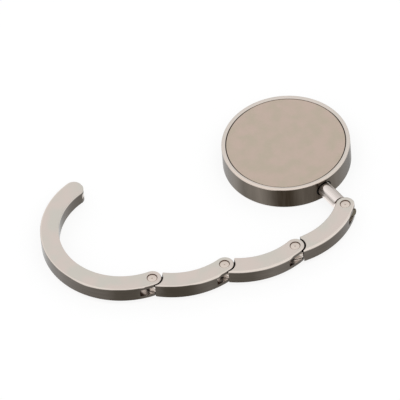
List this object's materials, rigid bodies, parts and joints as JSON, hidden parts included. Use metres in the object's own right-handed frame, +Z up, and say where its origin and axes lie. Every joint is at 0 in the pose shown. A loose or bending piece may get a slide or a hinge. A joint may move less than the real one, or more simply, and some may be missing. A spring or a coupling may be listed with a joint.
{
  "type": "purse hook",
  "caption": "Folding table hook for a handbag: a weighted disc with a non-slip pad, and a hinged chain with a C-shaped arm that folds into a ring round it.",
  "frame": {"origin": "middle of the rubber pad's underside, on the table", "axes": "+Z up out of the face plate, +X along the post as it is pulled out; the chain and arm lie towards -Y"},
  "size_m": [0.0603, 0.0917, 0.0073],
  "materials": {
    "case_metal": "polished nickel-plated zinc casting",
    "face_metal": "satin nickel, bare of any engraving",
    "steel": "plain sheet and wire, hidden inside",
    "pad_rubber": "matte, fine grain",
    "magnet": "nickel-plated magnet",
    "bush_nylon": "dark nylon",
    "post_metal": "polished steel rod",
    "link_metal": "satin top and bottom, polished flanks",
    "pin_metal": "ground flush with the links"
  },
  "bodies": {
    "case": {"case_body": "case_metal", "face_plate": "face_metal", "back_plate": "steel", "rubber_pad": "pad_rubber", "catch_magnet": "magnet", "stop_pin": "steel"},
    "bush": {"guide_bush": "bush_nylon"},
    "rod": {"post": "post_metal"},
    "link_1": {"first_link": "link_metal", "hinge_pin_1": "pin_metal"},
    "link_2": {"second_link": "link_metal", "hinge_pin_2": "pin_metal"},
    "link_3": {"third_link": "link_metal", "hinge_pin_3": "pin_metal"},
    "arm": {"hook_arm": "link_metal", "hinge_pin_4": "pin_metal", "tip_magnet": "magnet"}
  },
  "joints": [
    {"name": "post_swivel", "type": "hinge", "parent": "case", "child": "bush", "pos_m": [0, 0, 0.00388], "axis": [1, 0, 0], "continuous": true},
    {"name": "post_slide", "type": "slide", "parent": "bush", "child": "rod", "axis": [1, 0, 0], "range_m": [-0.00699, 0]},
    {"name": "hinge_1", "type": "hinge", "parent": "rod", "child": "link_1", "pos_m": [0.02729, 0, 0.00388], "axis": [0, 0, 1], "range_deg": [-39.53, 15.27]},
    {"name": "hinge_2", "type": "hinge", "parent": "link_1", "child": "link_2", "pos_m": [0.03109, -0.01941, 0.00388], "axis": [0, 0, 1], "range_deg": [-28.97, 27.23]},
    {"name": "hinge_3", "type": "hinge", "parent": "link_2", "child": "link_3", "pos_m": [0.02467, -0.03811, 0.00388], "axis": [0, 0, 1], "range_deg": [-51.75, 2.25]},
    {"name": "hinge_4", "type": "hinge", "parent": "link_3", "child": "arm", "pos_m": [0.01662, -0.05618, 0.00388], "axis": [0, 0, 1], "range_deg": [-39.85, 16]}
  ]
}
